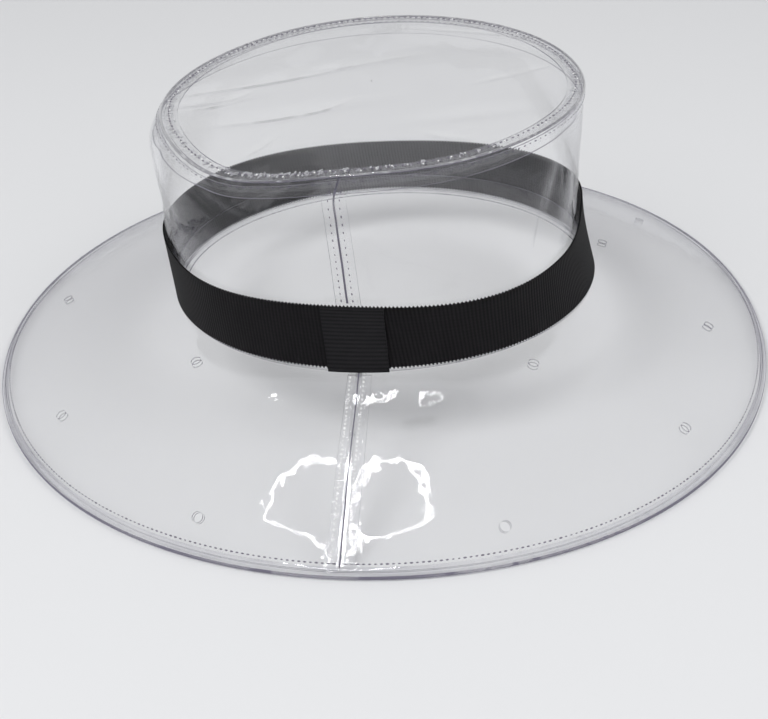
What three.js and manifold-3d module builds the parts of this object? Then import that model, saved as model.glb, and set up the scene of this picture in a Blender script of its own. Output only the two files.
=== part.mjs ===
// A wide-brim rain hat in clear vinyl, with a black grosgrain band round the foot of the crown.
// Millimetres, +Z up. The hat rests on the edge of its brim at z = 0, and the origin is the
// middle of that footprint. The centre back, with its seams and the band's keeper, faces -Y.

import * as THREE from 'three';
import { mergeVertices } from 'three/addons/utils/BufferGeometryUtils.js';
import Module from 'manifold-3d';

const wasm = await Module();
wasm.setup();

// Sheets and the air between them
const VINYL = 1.0;
const RIBBON = 1.0;
const GAP = 0.3;
const STACK = VINYL + GAP;
const PLY_GAP = 0.5;

// Facets round the hat
const TURNS = 60;
const DEGREE = Math.PI / 180;
const LAP = 360;

// The crown: how high its foot stands over the resting edge, and the height of its wall
const CROWN_FOOT = 28.15;
const CROWN_WALL = 81.95;

// The middle of the crown's foot, seen from the middle of the brim's footprint
const CROWN_PLACE = new THREE.Vector2(3.15, -0.57);

// The crown's wall, level by level. Each level is an oval: half its width and half its depth
// from back to front, how far its middle has leaned to the right and to the front, how much
// higher it stands at the back and on the right, and how far its four sides stand in and the
// corners between them out.
const CROWN_LEVELS = [
  { rise: 0.0, wide: 87.3, deep: 94.3, right: 0.0, front: 0.0, backUp: 7.0, rightUp: 0.9, square: 0.0 },
  { rise: 24.5, wide: 86.8, deep: 92.6, right: -3.9, front: 2.0, backUp: 6.1, rightUp: 1.2, square: 1.8 },
  { rise: 45.9, wide: 85.9, deep: 94.6, right: -4.3, front: 0.5, backUp: 4.6, rightUp: 1.5, square: 1.2 },
  { rise: 63.9, wide: 85.3, deep: 96.0, right: -4.7, front: -0.8, backUp: 3.6, rightUp: 1.8, square: 0.4 },
  { rise: 73.9, wide: 84.8, deep: 96.6, right: -4.8, front: -1.2, backUp: 3.1, rightUp: 2.0, square: 0.0 },
  { rise: 81.95, wide: 82.1, deep: 96.8, right: -2.2, front: -1.4, backUp: 2.8, rightUp: 2.1, square: 0.0 },
];

// How far the soft crown has been pushed out of those ovals, by turns from the centre back: out
// at the band's top, out at the top seam, and down at the top seam. A push at the band fades
// towards the foot and the open wall, and one at the seam fades down the wall.
const CROWN_PUSHES = [
  { turn: 0, band: -1.4, seam: -0.1, drop: -0.8 },
  { turn: 30, band: 2.3, seam: -0.5, drop: -0.4 },
  { turn: 60, band: -0.3, seam: 0.6, drop: -0.4 },
  { turn: 90, band: -0.5, seam: 0.9, drop: 1.4 },
  { turn: 120, band: 5.8, seam: -0.1, drop: 0.7 },
  { turn: 150, band: 4.4, seam: -0.3, drop: -0.1 },
  { turn: 180, band: 2.4, seam: 0.2, drop: -0.6 },
  { turn: 210, band: 2.4, seam: 0.3, drop: -0.4 },
  { turn: 240, band: 4.2, seam: 0.0, drop: 0.4 },
  { turn: 270, band: 3.8, seam: 0.1, drop: 0.4 },
  { turn: 300, band: -2.7, seam: 0.5, drop: 0.1 },
  { turn: 330, band: -2.7, seam: 2.7, drop: 3.0 },
];
const OPEN_WALL_FOOT = 45.9;
const OPEN_WALL_TOP = 63.9;

// Soft folds of the wall: the turn and rise of the middle, the length and width of the fold,
// the way that it runs (0 is level, 90 is upright), and its depth inwards
const WALL_FOLDS = [
  { turn: -76, rise: 55, length: 56, width: 12, slant: -62, depth: 2.4 },
  { turn: -58, rise: 61, length: 34, width: 9, slant: -76, depth: 1.4 },
  { turn: -97, rise: 62, length: 40, width: 16, slant: 90, depth: -1.8 },
  { turn: -30, rise: 68, length: 46, width: 9, slant: -28, depth: 1.3 },
  { turn: 58, rise: 50, length: 48, width: 12, slant: 58, depth: 1.6 },
  { turn: 80, rise: 52, length: 60, width: 15, slant: 88, depth: 2.0 },
  { turn: 150, rise: 48, length: 50, width: 16, slant: 70, depth: 1.6 },
  { turn: -150, rise: 52, length: 50, width: 16, slant: -66, depth: 1.5 },
];

// The top panel: how far its middle rises over its edge, and its soft creases. A crease has
// its middle (from the middle of the panel), its length and width, its way and its depth.
const TIP_DOME = 1.6;
const TIP_FOLDS = [
  { right: -38, front: 12, length: 78, width: 12, way: 24, depth: 1.5 },
  { right: -66, front: -16, length: 34, width: 10, way: 14, depth: 1.6 },
  { right: -30, front: -34, length: 62, width: 11, way: 20, depth: 1.1 },
  { right: 46, front: 44, length: 70, width: 18, way: -14, depth: 1.2 },
  { right: 42, front: -40, length: 50, width: 12, way: 16, depth: 0.9 },
];

// The brim: its width from the crown's foot at even turns from the centre back, by the right,
// the front and the left. It bows up a little between foot and edge.
const BRIM_WIDTHS = [
  { turn: 0, width: 74.3 },
  { turn: 45, width: 76.3 },
  { turn: 90, width: 72.5 },
  { turn: 135, width: 75.1 },
  { turn: 180, width: 75.5 },
  { turn: 225, width: 79.1 },
  { turn: 270, width: 78.8 },
  { turn: 315, width: 77.0 },
];
const BRIM_BOW = 2.0;

// Ripples of the brim: turn and distance out (0 at the foot, 1 at the edge) of the middle,
// the spread in degrees and in millimetres, and the height
const BRIM_RIPPLES = [
  { turn: 46, out: 0.72, spreadTurn: 9, spreadOut: 16, height: 1.8 },
  { turn: 34, out: 0.66, spreadTurn: 7, spreadOut: 18, height: -1.2 },
  { turn: -118, out: 0.6, spreadTurn: 12, spreadOut: 20, height: 1.5 },
  { turn: 112, out: 0.6, spreadTurn: 12, spreadOut: 20, height: 1.5 },
  { turn: 168, out: 0.5, spreadTurn: 14, spreadOut: 22, height: -1.4 },
];

// The stiff seam at the centre back holds the brim down in a shallow valley: the slope of the
// valley's two sides at the seam, and how far along the brim they reach
const VALLEY_SLOPE = 0.085;
const VALLEY_REACH = 80;

// Folds and ripples fade out towards a stitched edge. The creases of the top panel fade with this
// power of the distance from its middle, the ripples over this part of the brim's width.
const CREASE_FADE = 6;
const RIPPLE_FADE = 0.2;

// Vent holes, punched through both plies of the brim
const VENT_RADIUS = 2.0;
const VENT_SIDES = 6;
const VENT_DEPTH = 12;
const VENTS = [
  { turn: 20.2, out: 0.861 },
  { turn: 53, out: 0.786 },
  { turn: 81.8, out: 0.667 },
  { turn: 125.5, out: 0.687 },
  { turn: 162, out: 0.74 },
  { turn: -19, out: 0.856 },
  { turn: -52.5, out: 0.766 },
  { turn: -89.8, out: 0.716 },
  { turn: -126, out: 0.7 },
  { turn: -162, out: 0.74 },
  { turn: 38.8, out: 0.164 },
  { turn: 108.2, out: 0.149 },
  { turn: 180, out: 0.15 },
  { turn: -38.8, out: 0.179 },
  { turn: -108, out: 0.155 },
];

// The turned edge of the brim, and the flat that it rests on
const EDGE_WIDTH = 2.6;
const EDGE_HEIGHT = 2 * VINYL + PLY_GAP;
const EDGE_FLAT = 1.5;
const EDGE_FLAT_START = 0.3;
const EDGE_BEVEL = 0.5;
const EDGE_NOSE = 0.2;

// Seam allowances, stitched down inside the seams
const ALLOWANCE = 5.0;
const BACK_SEAM_WIDTH = 9.6;
const HEAD_SEAM_HEIGHT = 8.5;
const BRIM_SEAM_START = 3.0;
const BRIM_SEAM_END = 5.0;

// The air on both sides of the wall where the band and the head seam lie against it. The wall is
// pushed about most there, and its facets need a little more than the usual gap.
const FOOT_AIR = 0.38;

// The grosgrain band and the keeper round its join
const BAND_FOOT = 1.6;
const BAND_WIDTH = 22.9;
const KEEPER_WIDTH = 23.6;
const KEEPER_FOOT = 0.5;
const KEEPER_TOP = 24.9;
const KEEPER_LEAN = 1.7;

// Where the sheets have rows of points, so that neighbours share them and lie parallel: heights
// up the wall, parts of the brim's width, and rings across the top panel
const BAND_MIDDLE = 16.5;
const OPEN_WALL_ROWS = [37, 51, 64];
const BRIM_SHARES = [0.18, 0.36, 0.54, 0.72, 0.9];
const TIP_RINGS = 5;

// The surfaces of the hat

// Smooth values between the rows of a table, read at the key column
function smoothTable(rows, key, columns) {
  const keys = rows.map((row) => row[key]);
  const values = rows.flatMap((row) => columns.map((column) => row[column]));
  const curve = new THREE.CubicInterpolant(keys, values, columns.length, []);
  return (at) => {
    const found = curve.evaluate(at);
    return Object.fromEntries(columns.map((column, i) => [column, found[i]]));
  };
}

const LEVEL_COLUMNS = ['wide', 'deep', 'right', 'front', 'backUp', 'rightUp', 'square'];
const levelAt = smoothTable(CROWN_LEVELS, 'rise', LEVEL_COLUMNS);

// A table by turns comes round to its first row again, so it is read with a lap more at each end
function roundTable(rows, columns) {
  const laps = [-1, 0, 1].flatMap((lap) => rows.map((row) => ({ ...row, turn: row.turn + LAP * lap })));
  const curve = smoothTable(laps, 'turn', columns);
  return (turn) => curve((turn / DEGREE + LAP) % LAP);
}

const widthAt = roundTable(BRIM_WIDTHS, ['width']);
const pushAt = roundTable(CROWN_PUSHES, ['band', 'seam', 'drop']);

// A smooth bump that is 1 in the middle and fades to nothing over its spread
function bump(distance, spread) {
  return Math.exp(-((distance / spread) ** 2));
}

// How deep a fold is at a point, from how far the point lies along the fold and across it
function foldDepth(fold, rightwards, upwards, angle) {
  const along = rightwards * Math.cos(angle) + upwards * Math.sin(angle);
  const across = upwards * Math.cos(angle) - rightwards * Math.sin(angle);
  return fold.depth * bump(along, fold.length / 2) * bump(across, fold.width / 2);
}

// The shortest turn from one angle to another, in radians
function turnBetween(from, to) {
  return Math.atan2(Math.sin(to - from), Math.cos(to - from));
}

// A point of the crown's wall, in the middle of its thickness
function wallPoint(turn, rise) {
  const { smoothstep } = THREE.MathUtils;
  const level = levelAt(rise);
  const push = pushAt(turn);
  const upBand = Math.min(rise / (BAND_FOOT + BAND_WIDTH), 1);
  const atBand = upBand * (1 - smoothstep(rise, BAND_FOOT + BAND_WIDTH, OPEN_WALL_TOP));
  const atSeam = smoothstep(rise, OPEN_WALL_FOOT, CROWN_WALL);
  let out = push.band * atBand + push.seam * atSeam - level.square * Math.cos(4 * turn);
  for (const fold of WALL_FOLDS) {
    const sideways = turnBetween(fold.turn * DEGREE, turn) * level.wide;
    out -= foldDepth(fold, sideways, rise - fold.rise, fold.slant * DEGREE) * wallFree(rise);
  }
  return new THREE.Vector3(
    CROWN_PLACE.x + level.right + (level.wide + out) * Math.sin(turn),
    CROWN_PLACE.y + level.front - (level.deep + out) * Math.cos(turn),
    CROWN_FOOT + rise - push.drop * atSeam + level.backUp * Math.cos(turn) + level.rightUp * Math.sin(turn),
  );
}

// Folds die out at the stitched tip seam and under the band
function wallFree(rise) {
  const fromBand = THREE.MathUtils.smoothstep(rise, BAND_FOOT + BAND_WIDTH, CROWN_WALL / 2);
  const fromTip = 1 - THREE.MathUtils.smoothstep(rise, CROWN_WALL - 2 * ALLOWANCE, CROWN_WALL);
  return fromBand * fromTip;
}

// A point of the top panel, in the middle of its thickness. share is 0 in the middle, 1 at the seam.
function tipPoint(turn, share) {
  const middle = levelAt(CROWN_WALL);
  const push = pushAt(turn);
  const rightwards = (middle.wide + push.seam) * Math.sin(turn) * share;
  const frontwards = -(middle.deep + push.seam) * Math.cos(turn) * share;
  let up = TIP_DOME * (1 - share ** 2) - push.drop * share ** 2;
  for (const fold of TIP_FOLDS) {
    const depth = foldDepth(fold, rightwards - fold.right, frontwards - fold.front, fold.way * DEGREE);
    up -= depth * (1 - share ** CREASE_FADE);
  }
  const tilt = share * (middle.backUp * Math.cos(turn) + middle.rightUp * Math.sin(turn));
  return new THREE.Vector3(
    CROWN_PLACE.x + middle.right + rightwards,
    CROWN_PLACE.y + middle.front + frontwards,
    CROWN_FOOT + CROWN_WALL + tilt + up,
  );
}

// The way straight out from the crown's foot, level with the ground
function outward(turn) {
  const foot = levelAt(0);
  return new THREE.Vector3(Math.sin(turn) / foot.wide, -Math.cos(turn) / foot.deep, 0).normalize();
}

function brimWidth(turn) {
  return widthAt(turn).width;
}

// A point of the brim, halfway between its plies, at a distance in millimetres from the foot
function brimPoint(turn, distance) {
  const width = brimWidth(turn);
  const share = distance / width;
  const foot = wallPoint(turn, 0);
  const point = foot.clone().addScaledVector(outward(turn), distance);
  const fromFoot = THREE.MathUtils.smoothstep(share, 0, RIPPLE_FADE);
  const fromEdge = 1 - THREE.MathUtils.smoothstep(share, 1 - RIPPLE_FADE, 1);
  const sideways = Math.abs(turnBetween(0, turn)) * (levelAt(0).deep + distance);
  const valleySide = VALLEY_SLOPE * sideways * bump(sideways, VALLEY_REACH);
  let up = BRIM_BOW * Math.sin(Math.PI * THREE.MathUtils.clamp(share, 0, 1));
  up += valleySide * fromFoot * fromEdge;
  for (const ripple of BRIM_RIPPLES) {
    const round = bump(turnBetween(ripple.turn * DEGREE, turn) / DEGREE, ripple.spreadTurn);
    const across = bump((share - ripple.out) * width, ripple.spreadOut);
    up += ripple.height * round * across * fromFoot * fromEdge;
  }
  point.z = THREE.MathUtils.lerp(foot.z, EDGE_HEIGHT / 2, share) + up;
  return point;
}

// The way square to a surface, up and out of the hat, found from two short steps along it
const STEP = 0.01;
const SAME_POINT = 1e-4;
const UP = new THREE.Vector3(0, 0, 1);
function surfaceNormal(surface, turn, along) {
  const here = surface(turn, along);
  const round = surface(turn + STEP, along).sub(here);
  const across = surface(turn, along + STEP).sub(here);
  const normal = round.cross(across).normalize();
  return normal.dot(outward(turn).add(UP)) < 0 ? normal.negate() : normal;
}

// Making solids

// Turns a geometry's points into their places, joins shared points and faces it outwards
function form(geometry, place) {
  geometry.deleteAttribute('normal');
  geometry.deleteAttribute('uv');
  const position = geometry.getAttribute('position');
  const point = new THREE.Vector3();
  for (let i = 0; i < position.count; i += 1) {
    point.fromBufferAttribute(position, i);
    const placed = place(point);
    position.setXYZ(i, placed.x, placed.y, placed.z);
  }
  return faceOutwards(dropSlivers(mergeVertices(geometry, SAME_POINT)));
}

// Leaves out the triangles that have lost an edge where points were joined
function dropSlivers(geometry) {
  const corners = geometry.getIndex().array;
  const kept = [];
  for (let i = 0; i < corners.length; i += 3) {
    const [a, b, c] = [corners[i], corners[i + 1], corners[i + 2]];
    if (a !== b && b !== c && c !== a) {
      kept.push(a, b, c);
    }
  }
  geometry.setIndex(kept);
  return geometry;
}

function faceOutwards(geometry) {
  const position = geometry.getAttribute('position');
  const corners = Array.from(geometry.getIndex().array);
  const [a, b, c] = [new THREE.Vector3(), new THREE.Vector3(), new THREE.Vector3()];
  let volume = 0;
  for (let i = 0; i < corners.length; i += 3) {
    a.fromBufferAttribute(position, corners[i]);
    b.fromBufferAttribute(position, corners[i + 1]);
    c.fromBufferAttribute(position, corners[i + 2]);
    volume += a.dot(b.cross(c)) / 6;
  }
  if (volume < 0) {
    for (let i = 0; i < corners.length; i += 3) {
      [corners[i + 1], corners[i + 2]] = [corners[i + 2], corners[i + 1]];
    }
  }
  geometry.setIndex(corners);
  geometry.computeVertexNormals();
  return geometry;
}

// A sheet that goes right round the hat. It is lathed as a flat washer, whose radius counts
// the rows of points across the sheet and whose height is its thickness, and is then laid on
// the surface. rowsAt gives the rows' places on the surface at each turn.
const WASHER = 200;
function ringSheet(surface, rowsAt, offset, thickness) {
  const count = rowsAt(0).length;
  const profile = [];
  for (let i = 0; i < count; i += 1) {
    profile.push(new THREE.Vector2(WASHER + i, -thickness / 2));
  }
  for (let i = count - 1; i >= 0; i -= 1) {
    profile.push(new THREE.Vector2(WASHER + i, thickness / 2));
  }
  profile.push(profile[0].clone());
  return form(new THREE.LatheGeometry(profile, TURNS), (point) => {
    const turn = Math.atan2(point.x, point.z);
    const along = rowsAt(turn)[Math.round(Math.hypot(point.x, point.z) - WASHER)];
    const normal = surfaceNormal(surface, turn, along);
    return surface(turn, along).addScaledVector(normal, offset + point.y);
  });
}

// A strip along the centre back: a box bent to the surface, with its rows at the given places.
// lean is how far its last row stands to the right of its first.
function backStrip(surface, rows, width, columns, offset, thickness, lean = 0) {
  const last = rows.length - 1;
  const box = new THREE.BoxGeometry(width, last, thickness, columns, last, 1);
  return form(box, (point) => {
    const along = rows[Math.round(point.y + last / 2)];
    const sideways = point.x + lean * (along - rows[0]) / (rows[last] - rows[0]);
    const turn = sideways / Math.abs(surface(0, along).y - CROWN_PLACE.y);
    const normal = surfaceNormal(surface, turn, along);
    return surface(turn, along).addScaledVector(normal, offset + point.z);
  });
}

function asManifold(geometry) {
  const vertProperties = new Float32Array(geometry.getAttribute('position').array);
  const triVerts = new Uint32Array(geometry.getIndex().array);
  return new wasm.Manifold(new wasm.Mesh({ numProp: 3, vertProperties, triVerts }));
}

function asGeometry(solid) {
  const mesh = solid.getMesh();
  const geometry = new THREE.BufferGeometry();
  geometry.setAttribute('position', new THREE.BufferAttribute(mesh.vertProperties, 3));
  geometry.setIndex(new THREE.BufferAttribute(mesh.triVerts, 1));
  geometry.computeVertexNormals();
  return geometry;
}

// The punch for one vent: a short rod that stands square to the brim
function ventPunch(vent) {
  const turn = vent.turn * DEGREE;
  const distance = vent.out * brimWidth(turn);
  const normal = surfaceNormal(brimPoint, turn, distance);
  const rod = new THREE.CylinderGeometry(VENT_RADIUS, VENT_RADIUS, VENT_DEPTH, VENT_SIDES);
  const upright = new THREE.Quaternion().setFromUnitVectors(new THREE.Vector3(0, 1, 0), normal);
  const middle = brimPoint(turn, distance);
  return form(rod, (point) => point.clone().applyQuaternion(upright).add(middle));
}

function punched(ply) {
  let solid = asManifold(ply);
  for (const vent of VENTS) {
    solid = solid.subtract(asManifold(ventPunch(vent)));
  }
  return asGeometry(solid);
}

// The pieces

const rainHat = new THREE.Group();

function addPiece(name, geometry, material) {
  const mesh = new THREE.Mesh(geometry, material);
  mesh.name = name;
  rainHat.add(mesh);
}

const clearVinyl = new THREE.MeshStandardMaterial({
  color: 0xf2f2f6,
  roughness: 0.08,
  metalness: 0,
  transparent: true,
  opacity: 0.25,
  side: THREE.DoubleSide,
});
const grosgrain = new THREE.MeshStandardMaterial({ color: 0x1b1b1e, roughness: 0.85, metalness: 0 });

const fixed = (values) => () => values;
const wallFoot = 2 * GAP;
const wallTop = CROWN_WALL - VINYL / 2 - GAP;
const sideSeamTop = wallTop - STACK - GAP;
const sideSeamFoot = sideSeamTop - ALLOWANCE;
const bandTop = BAND_FOOT + BAND_WIDTH;

const footRows = [HEAD_SEAM_HEIGHT, BAND_MIDDLE, bandTop];
const sideSeamRows = [sideSeamFoot, sideSeamFoot + ALLOWANCE / 2, sideSeamTop];

// The top panel lies over the wall's top edge, flush with its outer face
function crownTip() {
  const edge = 1 + VINYL / 2 / levelAt(CROWN_WALL).deep;
  const profile = [new THREE.Vector2(0, -VINYL / 2)];
  for (let i = 1; i <= TIP_RINGS; i += 1) {
    profile.push(new THREE.Vector2(i, -VINYL / 2));
  }
  for (let i = TIP_RINGS; i >= 1; i -= 1) {
    profile.push(new THREE.Vector2(i, VINYL / 2));
  }
  profile.push(new THREE.Vector2(0, VINYL / 2));
  return form(new THREE.LatheGeometry(profile, TURNS), (point) => {
    const turn = Math.atan2(point.x, point.z);
    const share = Math.hypot(point.x, point.z) / TIP_RINGS * edge;
    return tipPoint(turn, share).add(new THREE.Vector3(0, 0, point.y));
  });
}
addPiece('crown_tip', crownTip(), clearVinyl);

const wallRows = [wallFoot, ...footRows, ...OPEN_WALL_ROWS, ...sideSeamRows, wallTop];
addPiece('crown_side', ringSheet(wallPoint, fixed(wallRows), 0, VINYL), clearVinyl);

// The tip seam's allowances lie open inside the corner, one under the panel and one down the wall
const tipSurface = (turn, inwards) => tipPoint(turn, 1 - inwards / levelAt(CROWN_WALL).wide);
const tipSeamRows = [VINYL + GAP, VINYL + GAP + ALLOWANCE];
addPiece('tip_allowance', ringSheet(tipSurface, fixed(tipSeamRows), -STACK, VINYL), clearVinyl);
addPiece('side_allowance', ringSheet(wallPoint, fixed(sideSeamRows), -STACK, VINYL), clearVinyl);

// The allowance of the head seam stands up inside the crown's foot, behind the band
const headSeamRows = [BAND_FOOT + GAP, HEAD_SEAM_HEIGHT];
const headSeamOffset = -VINYL - FOOT_AIR;
addPiece('head_seam', ringSheet(wallPoint, fixed(headSeamRows), headSeamOffset, VINYL), clearVinyl);

// The centre back seam's allowance, behind the wall, between the other two
const backSeamRows = [HEAD_SEAM_HEIGHT + GAP, BAND_MIDDLE, bandTop, ...OPEN_WALL_ROWS, sideSeamFoot - GAP];
addPiece('crown_back_seam',
  backStrip(wallPoint, backSeamRows, BACK_SEAM_WIDTH, 2, -STACK, VINYL), clearVinyl);

// The two plies of the brim. The upper one starts outside the wall, the lower one under it.
function plyRows(...starts) {
  return (turn) => {
    const width = brimWidth(turn);
    return [...starts, ...BRIM_SHARES.map((share) => share * width), width - EDGE_WIDTH - GAP];
  };
}
const upperStart = VINYL / 2 + GAP;
const underStart = -VINYL / 2 - STACK;
const plyOffset = (PLY_GAP + VINYL) / 2;
const upperPly = ringSheet(brimPoint, plyRows(upperStart), plyOffset, VINYL);
const underPly = ringSheet(brimPoint, plyRows(underStart, upperStart), -plyOffset, VINYL);
addPiece('brim_upper', punched(upperPly), clearVinyl);
addPiece('brim_under', punched(underPly), clearVinyl);

// The turned edge: its section follows the brim's slope and ends in a flat that rests on z = 0
function brimEdge() {
  const half = EDGE_HEIGHT / 2;
  const section = [
    { back: EDGE_WIDTH, up: half },
    { back: EDGE_BEVEL, up: half },
    { back: 0, up: EDGE_NOSE },
    { back: EDGE_FLAT_START, up: null },
    { back: EDGE_FLAT_START + EDGE_FLAT, up: null },
    { back: EDGE_WIDTH, up: -half },
  ];
  const profile = section.map((corner, i) => new THREE.Vector2(WASHER + i, 0));
  profile.push(profile[0].clone());
  return form(new THREE.LatheGeometry(profile, TURNS), (point) => {
    const turn = Math.atan2(point.x, point.z);
    const corner = section[Math.round(Math.hypot(point.x, point.z) - WASHER)];
    const distance = brimWidth(turn) - corner.back;
    const middle = brimPoint(turn, distance);
    if (corner.up === null) {
      return middle.setZ(0);
    }
    return middle.addScaledVector(surfaceNormal(brimPoint, turn, distance), corner.up);
  });
}
addPiece('brim_edge', brimEdge(), clearVinyl);

// The allowance of the brim's centre back seam, under the lower ply
const brimSeamOffset = -plyOffset - STACK;
const brimSeamRows = [BRIM_SEAM_START, ...BRIM_SHARES.map((share) => share * brimWidth(0)),
  brimWidth(0) - BRIM_SEAM_END];
addPiece('brim_back_seam',
  backStrip(brimPoint, brimSeamRows, BACK_SEAM_WIDTH, 2, brimSeamOffset, VINYL), clearVinyl);

// The band lies round the foot of the wall, and the keeper over the band's join
const bandOffset = (VINYL + RIBBON) / 2 + FOOT_AIR;
const bandRows = [BAND_FOOT, ...footRows];
addPiece('ribbon_band', ringSheet(wallPoint, fixed(bandRows), bandOffset, RIBBON), grosgrain);
const keeperRows = [KEEPER_FOOT, HEAD_SEAM_HEIGHT, BAND_MIDDLE, KEEPER_TOP];
addPiece('band_keeper',
  backStrip(wallPoint, keeperRows, KEEPER_WIDTH, 4, bandOffset + RIBBON + GAP, RIBBON, KEEPER_LEAN),
  grosgrain);

export default rainHat;
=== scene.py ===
# A wide-brim rain hat in clear vinyl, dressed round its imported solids. Metres, +Z up. The hat
# rests on the edge of its brim at z = 0, and its centre back faces -Y. The surfaces are worked
# out in millimetres, at turns counted from the centre back towards the right, and then scaled.
import math
import random

import bmesh
import bpy
import numpy as np
from mathutils import Matrix, Vector


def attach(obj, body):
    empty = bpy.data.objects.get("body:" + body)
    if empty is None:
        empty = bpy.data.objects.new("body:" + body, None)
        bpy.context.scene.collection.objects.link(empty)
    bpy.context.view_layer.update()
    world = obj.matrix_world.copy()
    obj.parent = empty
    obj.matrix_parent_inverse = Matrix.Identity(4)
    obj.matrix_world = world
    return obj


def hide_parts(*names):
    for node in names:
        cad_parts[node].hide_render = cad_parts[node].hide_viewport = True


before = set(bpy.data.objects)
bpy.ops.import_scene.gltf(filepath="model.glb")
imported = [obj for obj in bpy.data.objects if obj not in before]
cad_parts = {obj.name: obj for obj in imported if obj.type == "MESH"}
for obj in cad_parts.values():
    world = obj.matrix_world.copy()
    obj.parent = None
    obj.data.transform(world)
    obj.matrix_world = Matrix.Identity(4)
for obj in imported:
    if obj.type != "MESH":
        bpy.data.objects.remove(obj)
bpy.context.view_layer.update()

# The camera. It looks at the centre back from a little to the right and from above the brim,
# with the small roll that the hat has in the picture, so that the hat itself can stand level.
MM = 0.001
AZIMUTH, ELEVATION, ROLL = 0.131, 0.557, -0.051
DISTANCE = 0.575
# the crown's middle, and how far beside and below it the camera aims, in millimetres
CROWN_PLACE = (3.15, -0.57)
AIM_LEFT, AIM_RISE = 6.089, -19.841
AIM = MM * Vector((
    CROWN_PLACE[0] - AIM_LEFT * math.cos(AZIMUTH),
    CROWN_PLACE[1] - AIM_LEFT * math.sin(AZIMUTH),
    AIM_RISE,
))
# lens and shifts in pixels of the frame, and the sensor's width in millimetres
FOCAL_PIXELS, FRAME_WIDTH, SENSOR = 1278.975, 768, 36
SHIFT_RIGHT, SHIFT_UP = 7.6, 3.0

towards = Vector((
    math.sin(AZIMUTH) * math.cos(ELEVATION),
    -math.cos(AZIMUTH) * math.cos(ELEVATION),
    math.sin(ELEVATION),
))
level_right = Vector((math.cos(AZIMUTH), math.sin(AZIMUTH), 0))
level_up = towards.cross(level_right)
right = math.cos(ROLL) * level_right + math.sin(ROLL) * level_up
up = math.cos(ROLL) * level_up - math.sin(ROLL) * level_right
camera_data = bpy.data.cameras.new("camera")
camera_data.lens = FOCAL_PIXELS / FRAME_WIDTH * SENSOR
camera_data.sensor_width = SENSOR
camera_data.shift_x = SHIFT_RIGHT / FRAME_WIDTH
camera_data.shift_y = SHIFT_UP / FRAME_WIDTH
camera = bpy.data.objects.new("camera", camera_data)
place = AIM + DISTANCE * towards
camera.matrix_world = Matrix((
    (right.x, up.x, towards.x, place.x),
    (right.y, up.y, towards.y, place.y),
    (right.z, up.z, towards.z, place.z),
    (0, 0, 0, 1),
))
bpy.context.scene.collection.objects.link(camera)
bpy.context.scene.camera = camera

# The crown's wall. One strip of clear vinyl, closed by the seam at the centre back into an oval
# tube. It is soft: above the band it leans and bends into long shallow folds and a few sharp
# creases, and just under the top seam it puckers between the stitches.
TURNS = 720
FILM = 0.5
CROWN_FOOT, CROWN_WALL = 28.15, 81.95
BAND_TOP = 24.5
LEVEL_RISES = (0.0, BAND_TOP, 45.9, 63.9, 73.9, CROWN_WALL)
# half width, half depth, lean right, lean front, back up, right up, squareness
LEVELS = (
    (87.3, 94.3, 0.0, 0.0, 7.0, 0.9, 0.0),
    (86.8, 92.6, -3.9, 2.0, 6.1, 1.2, 1.8),
    (85.9, 94.6, -4.3, 0.5, 4.6, 1.5, 1.2),
    (85.3, 96.0, -4.7, -0.8, 3.6, 1.8, 0.4),
    (84.8, 96.6, -4.8, -1.2, 3.1, 2.0, 0.0),
    (82.1, 96.8, -2.2, -1.4, 2.8, 2.1, 0.0),
)
# pushes off those ovals, every 30 degrees: out at the band's top, out and down at the seam
PUSH_TURNS = tuple(range(-360, 720, 30))
PUSHES = (
    (-1.4, -0.1, -0.8), (2.3, -0.5, -0.4), (-0.3, 0.6, -0.4), (-0.5, 0.9, 1.4),
    (5.8, -0.1, 0.7), (4.4, -0.3, -0.1), (2.4, 0.2, -0.6), (2.4, 0.3, -0.4),
    (4.2, 0.0, 0.4), (3.8, 0.1, 0.4), (-2.7, 0.5, 0.1), (-2.7, 2.7, 3.0),
)
# turn and rise of the middle, length, width, slant (0 is level, 90 upright), depth inwards
WALL_FOLDS = (
    (-76, 55, 56, 12, -62, 2.4),
    (-58, 61, 34, 9, -76, 1.4),
    (-97, 62, 40, 16, 90, -1.8),
    (-30, 68, 46, 9, -28, 1.3),
    (58, 50, 48, 12, 58, 1.6),
    (80, 52, 60, 15, 88, 2.0),
    (150, 48, 50, 16, 70, 1.6),
    (-150, 52, 50, 16, -66, 1.5),
)
# the same columns, for the narrow creases
WALL_CREASES = (
    (-66, 58, 18, 2.2, -88, 0.6),
    (-72, 48, 34, 2.6, -66, 0.7),
    (-60, 34, 16, 2.4, -55, 0.5),
    (-34, 66, 26, 2.2, -30, 0.5),
    (-26, 62, 18, 2.0, -34, 0.4),
    (-22, 30, 14, 3.0, 4, -0.6),
    (66, 60, 14, 2.2, 78, 0.6),
    (74, 52, 22, 2.4, 80, 0.5),
    (52, 44, 26, 2.6, 66, 0.5),
    (82, 66, 20, 2.0, 84, 0.5),
)
# the seam holds this much of the wall under it free of folds
SEAM_HOLDS = 10
# the puckers: depth, waves round the crown and their groups, how far in they lie and reach
PUCKER_DEPTH = 0.08
PUCKER_WAVES, PUCKER_GROUPS, PUCKER_CROSSING = 92, 7, 151
PUCKER_INWARDS, PUCKER_REACH = 2.5, 2.0
# an edge that turns by more than this is left sharp, and points closer than this are one point
SHARP_TURN = math.radians(40)
SAME_POINT = 1e-6


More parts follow.
